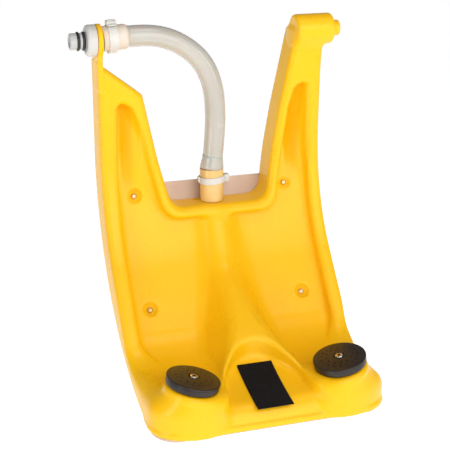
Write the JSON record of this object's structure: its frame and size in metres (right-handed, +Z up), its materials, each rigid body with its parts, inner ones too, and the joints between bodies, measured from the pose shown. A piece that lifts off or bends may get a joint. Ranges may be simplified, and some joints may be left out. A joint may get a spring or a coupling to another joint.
{
  "type": "eyewash swing tray",
  "caption": "Swing-down wash tray of a gravity-fed eyewash: moulded two-arm pan with a feed hose from its pivot to a pair of spray heads.",
  "frame": {"origin": "middle of the hinge axis, halfway between the outer side walls", "axes": "+X along the hinge axis from the inlet spigot to the plain stub, -Y towards the user, +Z up, tray in its in-use position"},
  "size_m": [0.3315, 0.2649, 0.4186],
  "materials": {
    "yellow_shell": "satin moulded polyethylene, safety yellow",
    "natural_plate": "natural translucent polyethylene sheet",
    "rivet_metal": "bright",
    "white_plastic": "satin white moulding",
    "seal_rubber": "smooth black",
    "clear_hose": "milky translucent vinyl",
    "nylon_tie": "natural nylon",
    "amber_fitting": "warm natural plastic seen through the hose",
    "pipe_plastic": "natural tube and white fittings",
    "black_head": "satin black moulding",
    "filter_foam": "open-cell foam",
    "screw_steel": "bright stainless",
    "hook_loop": "black hook-and-loop pile"
  },
  "bodies": {
    "tank_bearing": {"thrust_collar": "white_plastic"},
    "tray": {"tray_shell": "yellow_shell", "back_plate": "natural_plate", "cover_rivets": "rivet_metal", "inlet_spigot": "white_plastic", "o_ring_outer": "seal_rubber", "o_ring_inner": "seal_rubber", "supply_hose": "clear_hose", "upper_cable_tie": "nylon_tie", "lower_cable_tie": "nylon_tie", "inlet_fitting": "amber_fitting", "supply_tube": "pipe_plastic", "wye_fitting": "pipe_plastic", "branch_tube_left": "pipe_plastic", "branch_tube_right": "pipe_plastic", "head_elbow_left": "pipe_plastic", "head_elbow_right": "pipe_plastic", "head_gasket_left": "seal_rubber", "head_gasket_right": "seal_rubber", "spray_head_body_left": "black_head", "spray_head_body_right": "black_head", "filter_pad_left": "filter_foam", "filter_pad_right": "filter_foam", "spray_face_left": "black_head", "spray_face_right": "black_head", "head_screw_left": "screw_steel", "head_screw_right": "screw_steel", "head_lock_nut_left": "white_plastic", "head_lock_nut_right": "white_plastic", "hook_loop_patch": "hook_loop"}
  },
  "joints": [
    {"name": "tray_swing", "type": "hinge", "parent": "tank_bearing", "child": "tray", "pos_m": [0, 0, 0], "axis": [-1, 0, 0], "range_deg": [0, 150]}
  ]
}
